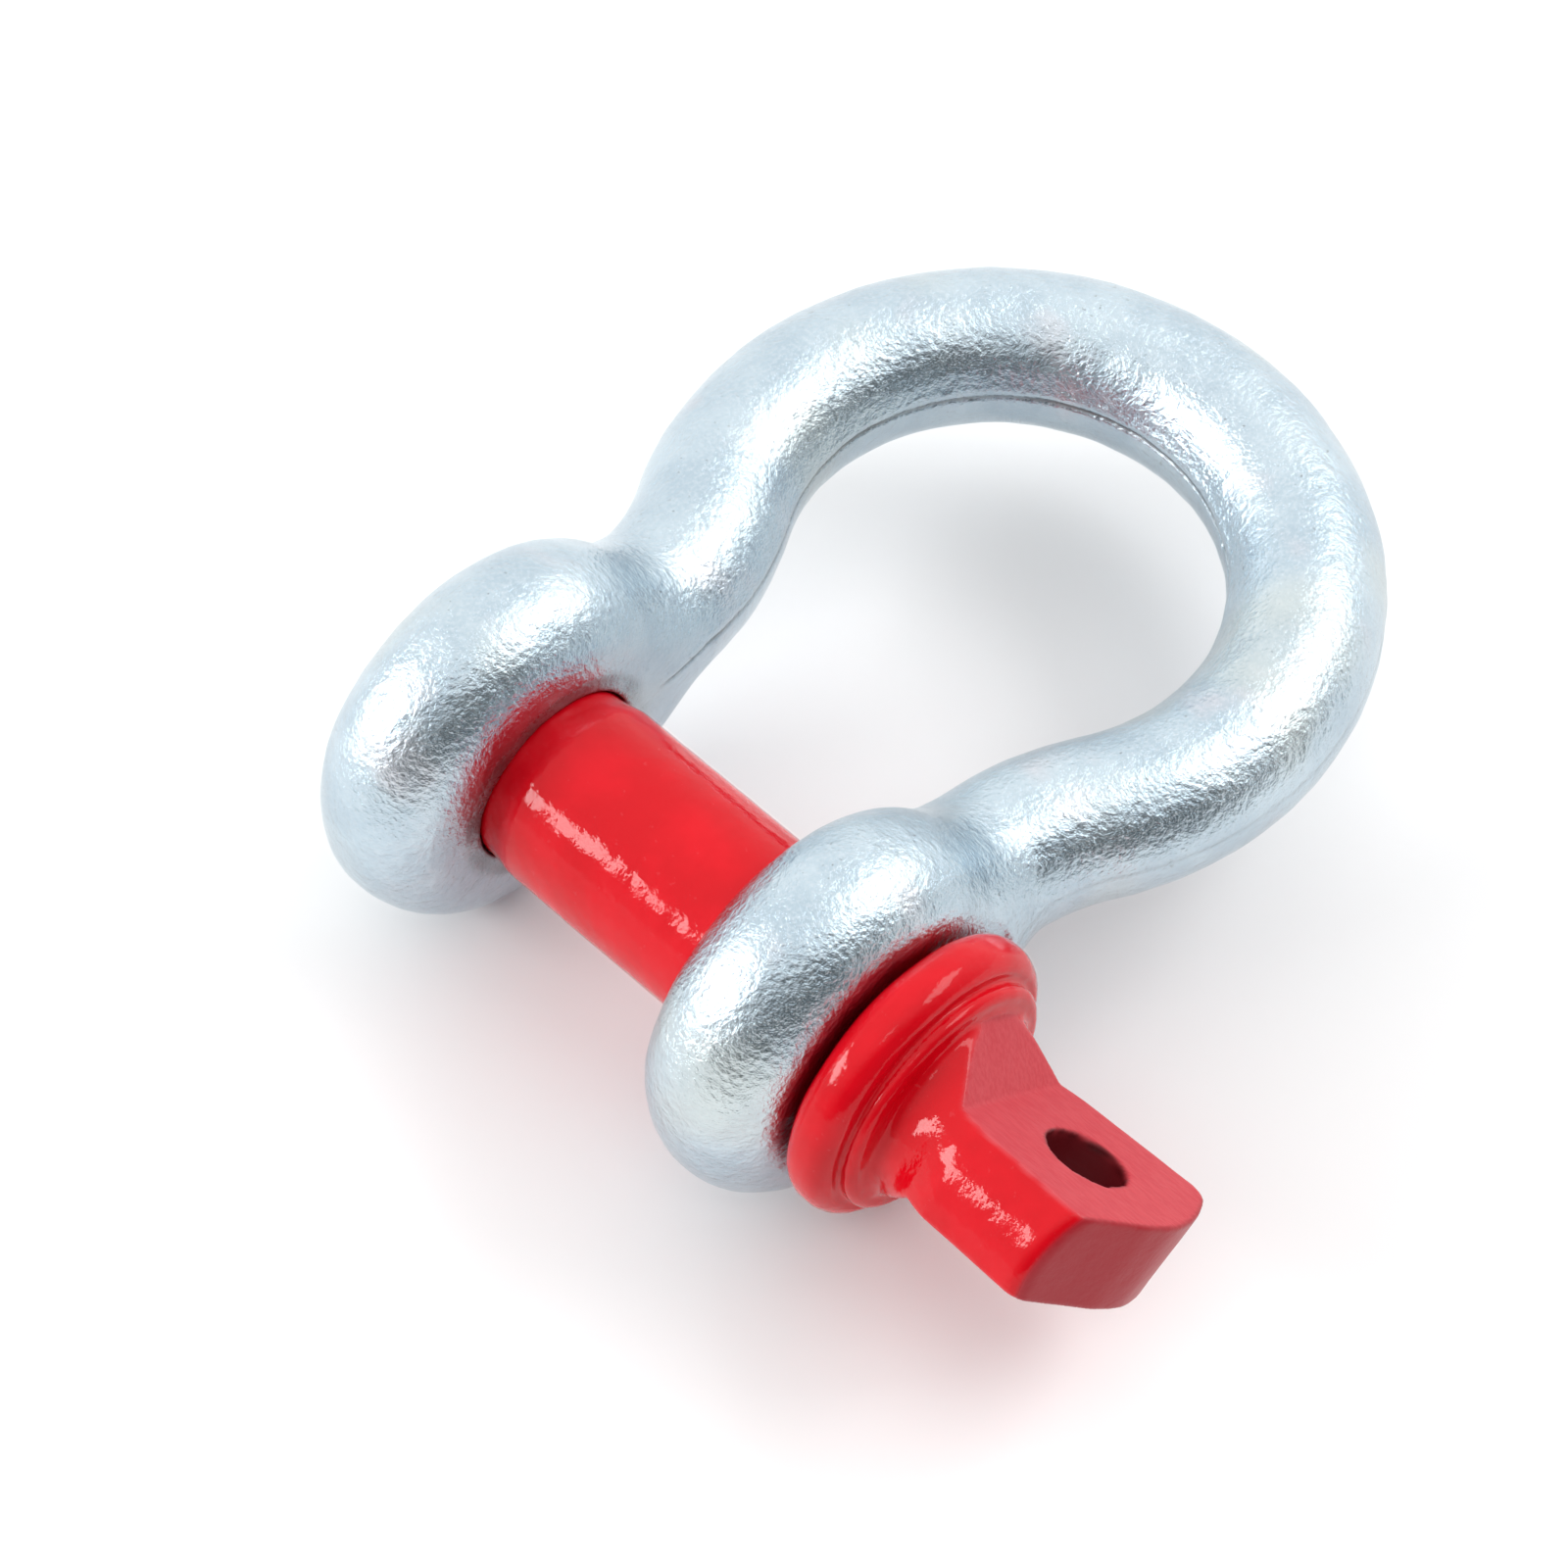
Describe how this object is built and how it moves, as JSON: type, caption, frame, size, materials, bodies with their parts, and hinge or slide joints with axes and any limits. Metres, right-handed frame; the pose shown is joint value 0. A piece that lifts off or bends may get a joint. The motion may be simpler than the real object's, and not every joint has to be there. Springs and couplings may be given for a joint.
{
  "type": "screw pin bow shackle",
  "caption": "Forged zinc-plated bow shackle with a red-painted screw pin that closes the jaw, turned by a flat tang with a locking-wire hole.",
  "frame": {"origin": "on the pin's axis, midway between the inner faces of the two eyes", "axes": "+X along the pin's axis towards its collar and tang, +Y towards the crown of the bow, +Z square to the bow's plane"},
  "size_m": [0.0789, 0.0835, 0.032],
  "materials": {
    "zinc": "bright zinc plating over a forged surface, satin with a fine hammered grain",
    "red_paint": "glossy red paint over a forged and machined pin"
  },
  "bodies": {
    "bow": {"bow": "zinc"},
    "screw_pin": {"screw_pin": "red_paint"}
  },
  "joints": [
    {"name": "pin_slide", "type": "slide", "parent": "bow", "child": "screw_pin", "axis": [1, 0, 0], "range_m": [0, 0.08]}
  ]
}
